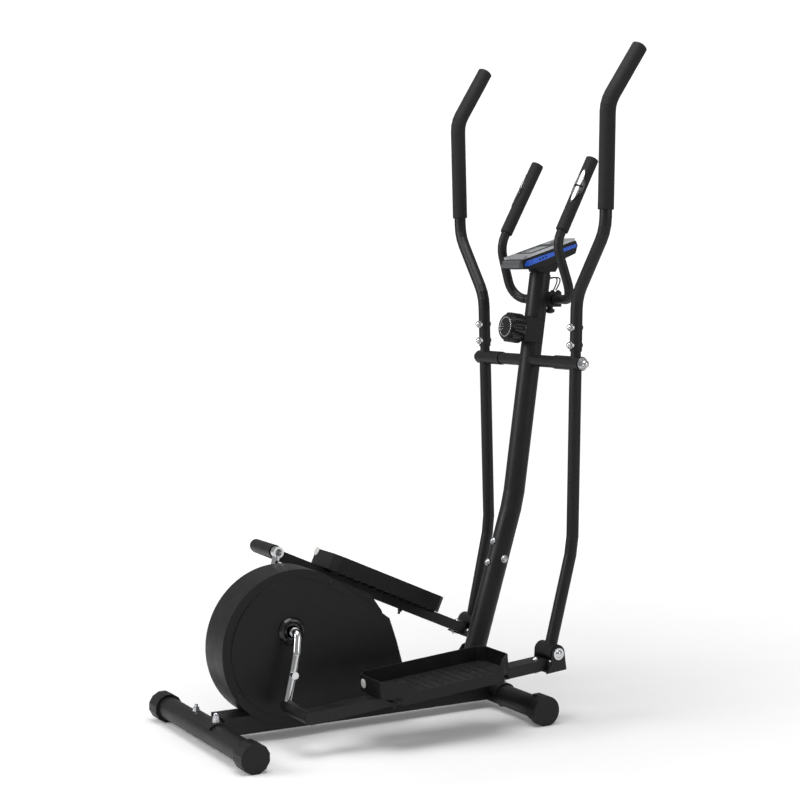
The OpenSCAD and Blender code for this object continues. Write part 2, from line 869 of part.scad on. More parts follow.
con_tilt = atan2(con_rise[1], con_rise[0]);
lens_at = 34;
lens_len = 66;
button_at = 122;

// Moves to the sloping top of the console, +X up the slope.
module console_top() {
    translate([con_x - 1, 0, 1044.2]) rotate([0, -con_tilt, 0]) children();
}

// Silver fascia with a window for the display and a hole for the button.
module console_fascia() {
    color("#b4b7bb") console_top() difference() {
        translate([0, -console_w / 2, 0]) cube([154, console_w, 6]);
        translate([lens_at, -28, -1]) cube([lens_len, 56, 8]);
        translate([button_at, 0, -1]) cylinder(h = 8, r = 10 + gap);
    }
}

// Clear window over the display.
module console_lens() {
    color("#8fa0a8") console_top()
        translate([lens_at + 0.1, -27.9, 2]) cube([lens_len - 0.2, 55.8, 3]);
}

// Grey stepped block on the end that faces the user.
module console_heel() {
    color("#55585b") {
        side_plate(0, console_w - 4) polygon([con(-12, 3), con(-0.2, 3),
            con(-0.2, 12), con(-12, 11)]);
        side_plate(0, console_w - 8) polygon([con(-9, 10), con(-0.2, 10),
            con(-0.2, 21), con(-9, 20)]);
    }
}

// Round button that picks the readout; it springs back by itself.
module mode_button() {
    color("#c03a2b") console_top() translate([button_at, 0, 1.8])
        cylinder(h = 6, r = 10);
}

// -------------------------------------------------------------- handlebar

clamp_z = 952;
clamp_x = mast_x(clamp_z) + tube_r + 12;
bar_low = [clamp_x, 36, clamp_z];
bar_side = [clamp_x - 24, bar_half + 12, clamp_z];
bar_knee = [clamp_x - 65, bar_half + 4, clamp_z + 128];
bar_tip = [clamp_x + 37, bar_half - 1, clamp_z + 321];
grip_dir = unit(bar_tip - bar_knee);
grip_low = bar_knee + grip_dir * 33;
grip_len = norm(bar_tip - grip_low);

function flip(v, s) = [v[0], s * v[1], v[2]];

// Path of one half of the handlebar, from y to short of the tip.
function bar_path(s, y, short) = [[clamp_x, y * s, clamp_z],
    flip(bar_low, s), flip(bar_side, s), flip(bar_knee, s),
    flip(bar_tip - grip_dir * short, s)];
bar_bends = [120, 45, 70];

// Fixed handlebar: one bent tube, drawn as two halves that meet.
module fixed_handlebar() {
    color("#1b1c1e") for (s = [-1, 1]) difference() {
        pipe(bar_path(s, 0, 4), bar_bends, bar_d / 2);
        pipe(bar_path(s, -1, 3), bar_bends, bar_d / 2 - 1.6);
    }
}

clamp_half = 18.5;

// Split block that clamps the bar to the front of the mast.
module handlebar_clamp() {
    color("#161617") difference() {
        union() {
            translate([clamp_x - 16, -clamp_half, clamp_z - 18])
                cube([36, 2 * clamp_half, 36]);
            translate([clamp_x - 30, -clamp_half, clamp_z - 14])
                cube([20, 2 * clamp_half, 28]);
        }
        aim(mast_at(clamp_z - 60), mast_high_dir)
            cylinder(h = 120, r = tube_r + 0.1, $fn = 96);
        translate([clamp_x, 40, clamp_z]) rotate([90, 0, 0])
            cylinder(h = 80, r = bar_d / 2 + fit);
        translate([clamp_x, 0, clamp_z - 40])
            cylinder(h = 35, r = bolt_r + fit);
        for (s = [-1, 1])
            translate([clamp_x + 15, s * 12, clamp_z - 30])
                cylinder(h = 60, r = 3 + fit);
    }
}

// Screw with a round hand knob under the clamp, and two clamp screws.
module clamp_screws() {
    color("#1a1a1b") {
        translate([clamp_x, 0, clamp_z - bar_d / 2 - 13])
            cylinder(h = 12.8, r = bolt_r);
        translate([clamp_x, 0, clamp_z - 30]) {
            cylinder(h = 7, r = 11);
            mirror([0, 0, 1]) round_head(11, 4);
            cylinder(h = 11.8, r = 7);
        }
        for (s = [-1, 1])
            translate([clamp_x + 15, s * 12, clamp_z - 18]) {
                cylinder(h = 37, r = 3);
                translate([0, 0, 36.1]) round_head(5.5, 4);
            }
    }
}

module grip_frame(s) {
    aim(flip(grip_low, s), flip(grip_dir, s)) children();
}

// Foam sleeves on the fixed handlebar, closed at the top.
module fixed_grips() {
    color("#1c1c1d") for (s = [-1, 1]) grip_frame(s) difference() {
        cylinder(h = grip_len + 4, r = bar_foam_d / 2);
        translate([0, 0, -1])
            cylinder(h = grip_len - 1.9, r = bar_d / 2 + fit);
        sensor_turn(s) sensor_cut(92, 27) cylinder(h = 300, r = 13.6);
    }
}

sensor_mid = 0.6;
sensor_out = 30;

// Turns the sensors to face the user and outwards.
module sensor_turn(s) {
    rotate([0, 0, 180 - s * sensor_out]) children();
}

// Leaf outline of a sensor: the part of its child inside two arcs.
module sensor_cut(len, wide) {
    R = (len * len / 4 + wide * wide / 4) / wide;
    intersection() {
        difference() {
            translate([0, 0, grip_len * sensor_mid - len / 2])
                cylinder(h = len, r = bar_foam_d);
            translate([0, 0, grip_len * sensor_mid - len / 2])
                children();
        }
        translate([0, wide / 2 - R, grip_len * sensor_mid])
            rotate([0, 90, 0]) cylinder(h = 60, r = R, $fn = 96);
        translate([0, R - wide / 2, grip_len * sensor_mid])
            rotate([0, 90, 0]) cylinder(h = 60, r = R, $fn = 96);
    }
}

bezel_r = bar_foam_d / 2 + 0.9;
plate_r = bezel_r + 1;

// Black leaf-shaped bezels set into the foam.
module pulse_bezels() {
    color("#101010") for (s = [-1, 1]) grip_frame(s) sensor_turn(s)
        intersection() {
            cylinder(h = grip_len, r = bezel_r);
            sensor_cut(91, 26.6) cylinder(h = grip_len, r = 13.8);
        }
}

// Two silver contact plates on each bezel.
module pulse_plates() {
    color("#c9ccd0") for (s = [-1, 1]) grip_frame(s) sensor_turn(s)
        difference() {
            intersection() {
                cylinder(h = grip_len, r = plate_r);
                sensor_cut(80, 20.5) cylinder(h = grip_len, r = bezel_r + 0.1);
            }
            translate([0, -30, grip_len * sensor_mid - 3]) cube([60, 60, 6]);
        }
}

lead_z = 1000;

// Hole in the front of the mast where the sensor leads come out.
module lead_hole() {
    translate([mast_x(lead_z), 0, lead_z]) rotate([0, 90, -20])
        cylinder(h = 60, r = 7.5);
}

// Ring of points of a round lead at p, looking along d.
function lead_ring(p, d, r) = let (u = unit(cross(d, [0, 1, 0.01])),
    v = unit(cross(d, u)))
    [for (k = [0 : 7]) p + r * (cos(45 * k) * u + sin(45 * k) * v)];
function bow(a, b, c, d, t) = a * pow(1 - t, 3) + 3 * b * t * pow(1 - t, 2)
    + 3 * c * t * t * (1 - t) + d * pow(t, 3);

module lead(y, swell) {
    a = [mast_x(lead_z) + tube_r - 5, y - 9, lead_z + 1];
    d = [clamp_x + 3, y * 1.2 - 14, clamp_z + 21];
    b = a + [26 + swell, -4, 6];
    c = d + [14 + swell, -6, 30];
    steps = 14;
    route = [for (i = [0 : steps]) bow(a, b, c, d, i / steps)];
    rings = [for (i = [0 : steps])
        lead_ring(route[i], route[min(i + 1, steps)] - route[max(i - 1, 0)],
                  1.6)];
    pts = [for (g = rings) for (q = g) q];
    walls = [for (i = [0 : steps - 1]) for (k = [0 : 7])
        [8 * i + k, 8 * i + (k + 1) % 8, 8 * (i + 1) + (k + 1) % 8,
         8 * (i + 1) + k]];
    polyhedron(points = pts, faces = concat(walls,
        [[for (k = [7 : -1 : 0]) k]],
        [[for (k = [0 : 7]) 8 * steps + k]]), convexity = 6);
}

// Two pulse sensor leads from the mast to the handlebar clamp.
module sensor_leads() {
    color("#111111") {
        lead(4, 0);
        lead(-4, 3);
    }
}

// -------------------------------------------------------------- swing arms

hub_half = 50.5;
hub_mid = cross_half + 0.5 + hub_half;
hub_r = 16;
bush_r = 13.4;
handle_start = 27;
neck_r = arm_d / 2 - 2.2;
foot_bolt_r = 6;
bolt_heights = [41, 81];

// Swing arm: axle hub, lower tube with its foot sleeve, neck on top.
module swing_arm(side) {
    foot = [-swing_back, side * swing_y, -swing_drop];
    knee = [0, side * swing_y, -415];
    toe = foot + unit(knee - foot) * 8;
    color("#1b1c1e") swing_frame(side) difference() {
        union() {
            difference() {
                union() {
                    pipe([[0, side * swing_y, -4], knee, toe], [180],
                         arm_d / 2);
                    bar([0, side * swing_y, 6],
                        [0, side * swing_y, 112], neck_r);
                }
                pipe([[0, side * swing_y, -20], knee, toe], [180],
                     arm_d / 2 - thin);
                bar([0, side * swing_y, 22],
                    [0, side * swing_y, 113], neck_r - thin);
            }
            translate([0, side * hub_mid + hub_half, 0])
                rotate([90, 0, 0]) cylinder(h = 2 * hub_half, r = hub_r);
            translate(foot + [0, ear_gap - gap, 0]) rotate([90, 0, 0])
                cylinder(h = 2 * (ear_gap - gap), r = foot_sleeve_r);
        }
        translate([0, side * hub_mid + hub_half + 1, 0])
            rotate([90, 0, 0]) cylinder(h = 2 * hub_half + 2, r = bush_r);
        translate(foot + [0, ear_gap, 0]) rotate([90, 0, 0])
            cylinder(h = 2 * ear_gap, r = foot_sleeve_r - 3);
        for (z = bolt_heights)
            translate([-30, side * swing_y, z]) rotate([0, 90, 0])
                cylinder(h = 60, r = bolt_r + fit);
    }
}

// Plastic bushes: two in the hub, two in the foot sleeve.
module swing_bushes(side) {
    color("#3a3a3c") swing_frame(side) {
        for (e = [-1, 1])
            translate([0, side * hub_mid + e * (hub_half - 12) + 12, 0])
                rotate([90, 0, 0])
                    washer(bush_r - fit, axle_r + fit, 24);
        for (e = [-1, 1])
            translate([-swing_back,
                       side * swing_y + e * (ear_gap - gap - 10.1) + 10,
                       -swing_drop])
                rotate([90, 0, 0])
                    washer(foot_sleeve_r - 3 - fit, foot_bolt_r + fit, 20);
    }
}

grip_start = 342;
grip_bend = 577;
grip_tip = [84, 704];
handle_end = 0.93;

// Path of the upper handle of one side, up to a share of its last leg.
function handle_path(side, start, share) = [
    [0, side * swing_y, start], [0, side * swing_y, 150],
    [0, side * grip_y, 298], [0, side * grip_y, grip_bend],
    [grip_tip[0] * share, side * grip_y,
     grip_bend + (grip_tip[1] - grip_bend) * share]];
handle_bends = [90, 90, 70];

// Upper handle tube, pushed over the neck of the swing arm.
module upper_handle(side) {
    color("#1b1c1e") swing_frame(side) difference() {
        pipe(handle_path(side, handle_start, handle_end), handle_bends,
             arm_d / 2);
        pipe(handle_path(side, handle_start - 1, handle_end + 0.01),
             handle_bends, arm_d / 2 - thin);
        for (z = bolt_heights)
            translate([-30, side * swing_y, z]) rotate([0, 90, 0])
                cylinder(h = 60, r = bolt_r + fit);
    }
}

// Foam sleeve over the top of the handle and round its bend.
module handle_foam(side) {
    a = [0, side * grip_y, grip_start];
    b = [0, side * grip_y, grip_bend];
    c = [grip_tip[0], side * grip_y, grip_tip[1]];
    color("#1c1c1d") swing_frame(side) difference() {
        pipe([a, b, c], [70], foam_d / 2);
        pipe([a - [0, 0, 1], b, c + unit(c - b)], [70], arm_d / 2 + fit);
    }
}

// Plastic plug in the end of the handle.
module handle_plug(side) {
    b = [0, side * grip_y, grip_bend];
    c = [grip_tip[0], side * grip_y, grip_tip[1]];
    end = b + (c - b) * handle_end;
    color("#131313") swing_frame(side) {
        aim(end + unit(c - b) * 0.1, c - b) cylinder(h = 12, r = arm_d / 2);
        aim(end - unit(c - b) * 18, c - b)
            cylinder(h = 19, r = arm_d / 2 - thin - fit);
    }
}

// Two coach bolts through handle and neck, cap nuts at the back.
module handle_bolts(side) {
    color("#c9ccd0") swing_frame(side)
        for (z = bolt_heights)
            translate([0, side * swing_y, z]) {
                translate([-21, 0, 0]) rotate([0, 90, 0])
                    cylinder(h = 38, r = bolt_r);
                translate([15, 0, 0]) rotate([0, 90, 0]) difference() {
                    translate([0, 0, -2]) round_head(8, 5);
                    translate([-20, 0, -15]) rotate([0, 90, 0])
                        cylinder(h = 40, r = arm_d / 2 + fit);
                }
                translate([-arm_d / 2 - 0.1, 0, 0]) rotate([0, -90, 0]) {
                    difference() {
                        translate([0, 0, -3]) cylinder(h = 5, r = 9);
                        translate([-20, 0, -arm_d / 2 - 0.1])
                            rotate([0, 90, 0])
                                cylinder(h = 40, r = arm_d / 2 + fit);
                    }
                    translate([0, 0, 2]) {
                        cylinder(h = 5, r = hex_r, $fn = 6);
                        translate([0, 0, 5]) round_head(6, 4);
                    }
                }
            }
}

module swing_arm_right() {
    swing_arm(-1);
}

module swing_arm_left() {
    swing_arm(1);
}

module swing_bushes_right() {
    swing_bushes(-1);
}

module swing_bushes_left() {
    swing_bushes(1);
}

module upper_handle_right() {
    upper_handle(-1);
}

module upper_handle_left() {
    upper_handle(1);
}

module handle_foam_right() {
    handle_foam(-1);
}

module handle_foam_left() {
    handle_foam(1);
}

module handle_plug_right() {
    handle_plug(-1);
}

module handle_plug_left() {
    handle_plug(1);
}

module handle_bolts_right() {
    handle_bolts(-1);
}

module handle_bolts_left() {
    handle_bolts(1);
}

// -------------------------------------------------------------- pedal arms

arm_len = rod_len - 22;
ear_r = 17;
clevis_bolt_s = 580;
tray_bolts = [tray_start + 50, tray_start + tray_len - 70];

// Pedal arm: rectangular tube, rear pin sleeve, clevis on the front end.
module pedal_arm(side) {
    y = side * swing_y;
    color("#1b1c1e") difference() {
        union() {
            arm_frame(side) difference() {
                translate([0, -pedal_arm_w / 2, -pedal_arm_h])
                    cube([arm_len, pedal_arm_w, pedal_arm_h]);
                translate([-1, -pedal_arm_w / 2 + thin, -pedal_arm_h + thin])
                    cube([arm_len - 1, pedal_arm_w - 2 * thin,
                          pedal_arm_h - 2 * thin]);
            }
            pedal_frame(side) {
                translate([0, side * (sleeve_in + sleeve_out) / 2
                           + (sleeve_out - sleeve_in) / 2, 0])
                    rotate([90, 0, 0])
                        cylinder(h = sleeve_out - sleeve_in, r = sleeve_r);
                translate([0, side * (sleeve_out - 0.5), 0])
                    rotate([-side * 90, 0, 0])
                        cylinder(h = 3.5, r = sleeve_r - 1);
                for (e = [-1, 1])
                    translate([rod_len, y + e * (ear_gap + ear_t / 2)
                               + ear_t / 2, 0])
                        rotate([90, 0, 0]) cylinder(h = ear_t, r = ear_r);
            }
            for (e = [-1, 1])
                pedal_frame(side)
                    side_plate(y + e * (ear_gap + ear_t / 2), ear_t)
                        polygon([[rod_len - 36, -38.7], [rod_len + 18, -40],
                                 [rod_len + ear_r, 0], [rod_len - ear_r, 0],
                                 [rod_len - 22, -24]]);
            pedal_frame(side)
                side_plate(y, 2 * (ear_gap + ear_t))
                    polygon([[rod_len - 31, -38.8], [rod_len + 18, -40],
                             [rod_len + 18, -35.5], [rod_len - 31, -34.2]]);
        }
        pedal_frame(side) {
            translate([0, side * 100, 0]) rotate([-side * 90, 0, 0])
                cylinder(h = sleeve_out - 100, r = pin_r + fit);
            translate([rod_len, y + 60, 0]) rotate([90, 0, 0])
                cylinder(h = 120, r = foot_bolt_r + fit);
        }
        arm_frame(side) {
            translate([clevis_bolt_s, 0, -60])
                cylinder(h = 80, r = bolt_r + fit);
            for (s = tray_bolts)
                translate([s, 0, -60]) cylinder(h = 80, r = 3 + fit);
        }
    }
}

// Outline of the tray, corners cut, drawn smaller by the wall.
module tray_outline(side, wall) {
    inner = -side * (tray_w / 2 - wall);
    outer = side * (tray_w / 2 - wall);
    a = tray_start + wall;
    b = tray_start + tray_len - wall;
    k = wall * 0.41;
    polygon([[a, inner + side * (18 - k)], [a + 18 - k, inner],
             [b - 18 + k, inner], [b, inner + side * (18 - k)],
             [b, outer - side * (36 - k)], [b - 36 + k, outer],
             [a + 36 - k, outer], [a, outer - side * (36 - k)]]);
}

// Foot tray: floor with anti-slip studs, high walls, low outer lip, ribs.
module pedal_tray(side) {
    outer = tray_w / 2;
    color("#19191a") arm_frame(side) difference() {
        union() {
            translate([0, 0, 0.1]) difference() {
                linear_extrude(height = tray_h) tray_outline(side, 0);
                translate([0, 0, tray_floor]) linear_extrude(height = tray_h)
                    tray_outline(side, tray_wall);
            }
            difference() {
                translate([0, 0, -12]) linear_extrude(height = 12.2)
                    tray_outline(side, 0);
                translate([0, 0, -13]) linear_extrude(height = 13.1)
                    tray_outline(side, tray_wall);
                translate([tray_start - 10, side > 0 ? -100 : -outer + 4, -14])
                    cube([tray_len + 20, 100 + outer - 4, 14.1]);
            }
            for (i = [1 : 14])
                translate([tray_start + i * tray_len / 15 - 1.2,
                           side > 0 ? pedal_arm_w / 2 + 1 : -outer + 2, -9])
                    cube([2.4, outer - 3 - pedal_arm_w / 2, 9.2]);
            for (i = [1 : 14])
                translate([tray_start + i * tray_len / 15 - 1.2,
                           side > 0 ? -outer + 2 : pedal_arm_w / 2 + 1, -6])
                    cube([2.4, outer - 3 - pedal_arm_w / 2, 6.2]);
            for (i = [2 : 13], j = [-4 : 4])
                translate([tray_start + i * tray_len / 15, j * 13,
                           tray_floor])
                    cylinder(h = 1.4, r = 3, $fn = 16);
        }
        translate([0, side > 0 ? outer + 1 : -outer + 20, 0])
            rotate([90, 0, 0]) linear_extrude(height = 21)
                polygon([[tray_start + 40, tray_h + 2],
                         [tray_start + 66, 12],
                         [tray_start + tray_len - 50, 12],
                         [tray_start + tray_len - 36, tray_h + 2]]);
        for (s = tray_bolts) {
            translate([s, 0, -60]) cylinder(h = 80, r = 3 + fit);
            translate([s, 0, tray_floor - 1.9]) cylinder(h = 8, r = 7);
        }
    }
}

// Rear pedal pin, pivot bolt with its washers, and the clevis bolt.
module pedal_pins(side) {
    y = side * swing_y;
    color("#c9ccd0") pedal_frame(side) {
        translate([0, side * (sleeve_in - 0.6), 0])
            rotate([-side * 90, 0, 0])
                cylinder(h = sleeve_out - sleeve_in + 0.4, r = pin_r);
        half = ear_gap + ear_t;
        translate([rod_len, y + half + 2, 0]) rotate([90, 0, 0])
            cylinder(h = 2 * half + 4, r = foot_bolt_r);
        for (e = [-1, 1])
            translate([rod_len, y + e * (half + 0.1), 0])
                rotate([-e * 90, 0, 0]) {
                    cylinder(h = 2, r = 13.5);
                    translate([0, 0, 1.9]) round_head(9, 5);
                }
    }
    color("#c9ccd0") arm_frame(side) translate([clevis_bolt_s, 0, 0]) {
        translate([0, 0, 0.1]) round_head(7.5, 5);
        translate([0, 0, -33]) cylinder(h = 34.5, r = bolt_r);
        translate([0, 0, -pedal_arm_h - 5.8])
            cylinder(h = 5.5, r = 7, $fn = 6);
    }
}

// The two bolts that hold the tray on the arm.
module pedal_bolts(side) {
    color("#b9bcc0") arm_frame(side) {
        for (s = tray_bolts) {
            translate([s, 0, tray_floor - 1.8]) round_head(6, 3);
            translate([s, 0, -37]) cylinder(h = 36 + tray_floor, r = 3);
            translate([s, 0, -pedal_arm_h - 5.2])
                cylinder(h = 5.1, r = 6, $fn = 6);
        }
    }
}

module pedal_arm_right() {
    pedal_arm(-1);
}

module pedal_arm_left() {
    pedal_arm(1);
}

module pedal_tray_right() {
    pedal_tray(-1);
}

module pedal_tray_left() {
    pedal_tray(1);
}

module pedal_pins_right() {
    pedal_pins(-1);
}

module pedal_pins_left() {
    pedal_pins(1);
}

module pedal_bolts_right() {
    pedal_bolts(-1);
}

module pedal_bolts_left() {
    pedal_bolts(1);
}

// ------------------------------------------------------------------- nodes

base_rail();
mast_stub();
rear_stabiliser();
front_stabiliser();
leveller_right();
leveller_left();
front_caps();
stabiliser_bolts();
stabiliser_nuts();
upper_mast();
mast_bolts();
pivot_nuts();
tension_collar();
tension_knob();
drive_frame();
crank_bearings();
crank();
drive_pulley();
drive_belt();
flywheel();
flywheel_axle();
magnet_bracket();
housing_right();
housing_left();
housing_screws();
hub_covers();
console_neck();
console_body();
console_fascia();
console_lens();
console_trims();
console_heel();
mode_button();
fixed_handlebar();
handlebar_clamp();
clamp_screws();
fixed_grips();
pulse_bezels();
pulse_plates();
sensor_leads();
swing_arm_right();
swing_bushes_right();
upper_handle_right();
handle_foam_right();
handle_plug_right();
handle_bolts_right();
swing_arm_left();
swing_bushes_left();
upper_handle_left();
handle_foam_left();
handle_plug_left();
handle_bolts_left();
pedal_arm_right();
pedal_tray_right();
pedal_pins_right();
pedal_bolts_right();
pedal_arm_left();
pedal_tray_left();
pedal_pins_left();
pedal_bolts_left();
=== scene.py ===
import json
import math

import bmesh
import bpy
from mathutils import Matrix, Vector, noise


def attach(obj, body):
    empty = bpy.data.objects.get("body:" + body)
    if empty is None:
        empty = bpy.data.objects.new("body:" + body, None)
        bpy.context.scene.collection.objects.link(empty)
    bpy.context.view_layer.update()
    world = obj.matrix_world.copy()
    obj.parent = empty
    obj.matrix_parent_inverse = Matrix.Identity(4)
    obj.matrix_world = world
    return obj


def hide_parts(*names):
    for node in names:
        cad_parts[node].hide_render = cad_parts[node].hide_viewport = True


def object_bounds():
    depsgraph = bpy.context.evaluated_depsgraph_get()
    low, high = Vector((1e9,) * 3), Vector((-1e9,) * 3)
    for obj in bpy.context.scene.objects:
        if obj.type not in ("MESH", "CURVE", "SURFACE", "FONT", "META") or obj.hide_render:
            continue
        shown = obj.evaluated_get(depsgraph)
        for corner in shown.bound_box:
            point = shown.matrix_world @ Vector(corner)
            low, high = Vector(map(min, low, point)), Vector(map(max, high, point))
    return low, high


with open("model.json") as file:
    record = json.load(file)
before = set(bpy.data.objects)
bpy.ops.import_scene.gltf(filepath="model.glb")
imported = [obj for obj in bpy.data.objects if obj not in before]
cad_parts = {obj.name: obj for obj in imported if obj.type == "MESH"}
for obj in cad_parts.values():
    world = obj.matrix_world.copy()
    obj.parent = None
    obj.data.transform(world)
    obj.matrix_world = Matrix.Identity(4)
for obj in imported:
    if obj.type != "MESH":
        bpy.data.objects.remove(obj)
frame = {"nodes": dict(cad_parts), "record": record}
cad_box = [list(corner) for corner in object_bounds()]


# ---------------------------------------------------------------- studio
# A pale seamless floor, with a painted glow of its own, under soft light: a wide panel
# overhead, one from behind on the user's left and a weak fill from the front right.


class Value:
    """A value in a material's tree. Arithmetic makes maths nodes from it."""

    def __init__(self, tree, socket=None):
        self.tree = tree
        self.socket = socket

    def add(self, kind, settings, inputs, output=0):
        """Any shader node, with its settings and inputs, read at one output."""
        node = self.tree.nodes.new("ShaderNode" + kind)
        for name, value in settings.items():
            setattr(node, name, value)
        for name, value in inputs.items():
            if isinstance(value, Value):
                self.tree.links.new(value.socket, node.inputs[name])
            else:
                node.inputs[name].default_value = value
        return Value(self.tree, node.outputs[output])

    def __add__(self, other):
        return self.add("Math", {"operation": "ADD"}, {0: self, 1: other})

    def __radd__(self, other):
        return self.add("Math", {"operation": "ADD"}, {0: other, 1: self})

    def __sub__(self, other):
        return self.add("Math", {"operation": "SUBTRACT"}, {0: self, 1: other})

    def __rsub__(self, other):
        return self.add("Math", {"operation": "SUBTRACT"}, {0: other, 1: self})

    def __mul__(self, other):
        return self.add("Math", {"operation": "MULTIPLY"}, {0: self, 1: other})

    def __rmul__(self, other):
        return self.add("Math", {"operation": "MULTIPLY"}, {0: other, 1: self})


def start_material(name):
    """A new empty material, and the value that its nodes grow from."""
    made = bpy.data.materials.new(name)
    made.use_nodes = True
    made.node_tree.nodes.clear()
    return made, Value(made.node_tree)


def end_material(made, shader):
    """Joins the finished shader to the material's output."""
    end = made.node_tree.nodes.new("ShaderNodeOutputMaterial")
    made.node_tree.links.new(shader.socket, end.inputs["Surface"])
    return made


def place_of(root):
    """Position on the object at rest, in metres."""
    return root.add("TexCoord", {}, {}, "Object")


def grain(root, scale, detail=3.0, rough=0.55, stretch=None):
    """Smooth noise from 0 to 1, with about scale features to a metre."""
    where = place_of(root)
    if stretch:
        where = root.add("Mapping", {}, {"Vector": where, "Scale": stretch})
    return root.add(
        "TexNoise", {},
        {"Vector": where, "Scale": scale, "Detail": detail, "Roughness": rough},
    )


def spread(value, low, high, out_low=0.0, out_high=1.0):
    """Stretches the range low..high to out_low..out_high."""
    return value.add(
        "MapRange", {},
        {"Value": value, "From Min": low, "From Max": high,
         "To Min": out_low, "To Max": out_high},
    )


def two_tone(factor, first, second):
    """A colour between two colours."""
    return factor.add(
        "Mix", {"data_type": "RGBA"},
        {0: factor, 6: (*first, 1.0), 7: (*second, 1.0)}, 2,
    )


def link_mesh(name, mesh):
    """A new object for a mesh, in the scene."""
    made = bpy.data.objects.new(name, mesh)
    bpy.context.scene.collection.objects.link(made)
    return made


floor_made, floor_root = start_material("studio_floor")
floor_shade = two_tone(
    spread(grain(floor_root, 3.0), 0.3, 0.7), (0.86, 0.86, 0.87), (0.89, 0.89, 0.9)
)

floor_away = floor_root.add(
    "VectorMath", {"operation": "LENGTH"}, {0: place_of(floor_root)}, "Value"
)
# Painted light: the floor glows, dim near the machine and full white far off, in place of
# light falling there.
painted_floor_glow = two_tone(
    spread(floor_away, 0.5, 3.0), (0.16, 0.16, 0.16), (1.0, 1.0, 1.0)
)


def floor_coat(glow):
    """Matt floor with painted light: a glow of its own that grows away from the middle."""
    return floor_root.add(
        "BsdfPrincipled", {},
        {"Base Color": floor_shade, "Roughness": 0.75, "Specular IOR Level": 0.2,
         "Emission Color": painted_floor_glow, "Emission Strength": glow},
    )


floor_seen = floor_root.add("LightPath", {}, {}, "Is Camera Ray")
end_material(
    floor_made,
    floor_root.add(
        "MixShader", {}, {0: floor_seen, 1: floor_coat(0.12), 2: floor_coat(0.74)}
    ),
)
floor_mesh = bmesh.new()
bmesh.ops.create_grid(floor_mesh, x_segments=8, y_segments=8, size=14.0)
floor_data = bpy.data.meshes.new("studio_floor")
floor_mesh.to_mesh(floor_data)
floor_mesh.free()
floor_data.materials.append(floor_made)
floor = link_mesh("studio_floor", floor_data)
floor_gap = 0.0005
floor.location = (0, 0, cad_box[0][2] - floor_gap)

world = bpy.data.worlds.new("studio")
world.use_nodes = True
world.node_tree.nodes.clear()
world_root = Value(world.node_tree)
white = (1, 1, 1, 1)
backdrop = world_root.add("MixShader", {}, {
    0: world_root.add("LightPath", {}, {}, "Is Camera Ray"),
    1: world_root.add("Background", {}, {"Color": white, "Strength": 0.3}),
    2: world_root.add("Background", {}, {"Color": white, "Strength": 1.1}),
})
world_end = world.node_tree.nodes.new("ShaderNodeOutputWorld")
world.node_tree.links.new(backdrop.socket, world_end.inputs["Surface"])
bpy.context.scene.world = world
bpy.context.scene.view_settings.view_transform = "Standard"


def soft_light(name, place, target, size, watts):
    """A square light panel at a place, turned to a target."""
    data = bpy.data.lights.new(name, "AREA")
    data.shape = "SQUARE"
    data.size = size
    data.energy = watts
    made = bpy.data.objects.new(name, data)
    bpy.context.scene.collection.objects.link(made)
    made.location = place
    turned = Vector(target) - Vector(place)
    made.rotation_euler = turned.to_track_quat("-Z", "Y").to_euler()
    return made


# Name, place, target, size in metres and power in watts.
for light in (
    ("light_top", (-0.4, -0.4, 3.2), (0, 0, 0.4), 2.2, 60),
    ("light_rear", (-3.0, 0.9, 2.0), (0, 0, 0.5), 1.6, 55),
    ("light_right", (1.6, -3.0, 1.6), (0, 0, 0.6), 1.4, 14),
):
    soft_light(*light)

camera_data = bpy.data.cameras.new("camera")
camera_data.sensor_width = 36.0
camera_data.lens = 75.6
camera_data.clip_end = 60.0
camera = bpy.data.objects.new("camera", camera_data)
bpy.context.scene.collection.objects.link(camera)
camera.location = (-1.845, -3.295, 0.9915)
camera.rotation_euler = (math.radians(86.0), 0.0, math.radians(-29.6))
bpy.context.scene.camera = camera


# ------------------------------------------------------ powder-coated steel
# Rail, floor tubes, mast, swing tubes and pedal arms: satin black powder
# coat, a fine orange peel, dull rubbed patches and paler tops: a little dust with painted
# top light.

tube_colour = (0.0065, 0.0066, 0.007)
tube_pale_tone = (0.017, 0.017, 0.018)
tube_nodes = [
    "base_rail", "mast_stub", "rear_stabiliser", "front_stabiliser",
    "upper_mast", "fixed_handlebar", "swing_arm_right", "swing_arm_left",
    "upper_handle_right", "upper_handle_left", "pedal_arm_right",
    "pedal_arm_left",
]


def rounded(root, radius):
    """The surface direction with its sharp edges eased by a radius."""
    return root.add("Bevel", {"samples": 4}, {"Radius": radius})


def dust_and_light_on_top(root, amount):
    """0 to amount on faces that look up, broken up by noise: dust, and painted top light.
    """
    up = root.add(
        "SeparateXYZ", {}, {"Vector": root.add("NewGeometry", {}, {}, "Normal")}, "Z"
    )
    return spread(up, 0.2, 1.0, 0.0, amount) * spread(grain(root, 38.0), 0.35, 0.7)


def finish_nodes(names, made):
    """Gives CAD nodes a material."""
    for name in names:
        data = frame["nodes"][name].data
        data.materials.clear()
        data.materials.append(made)


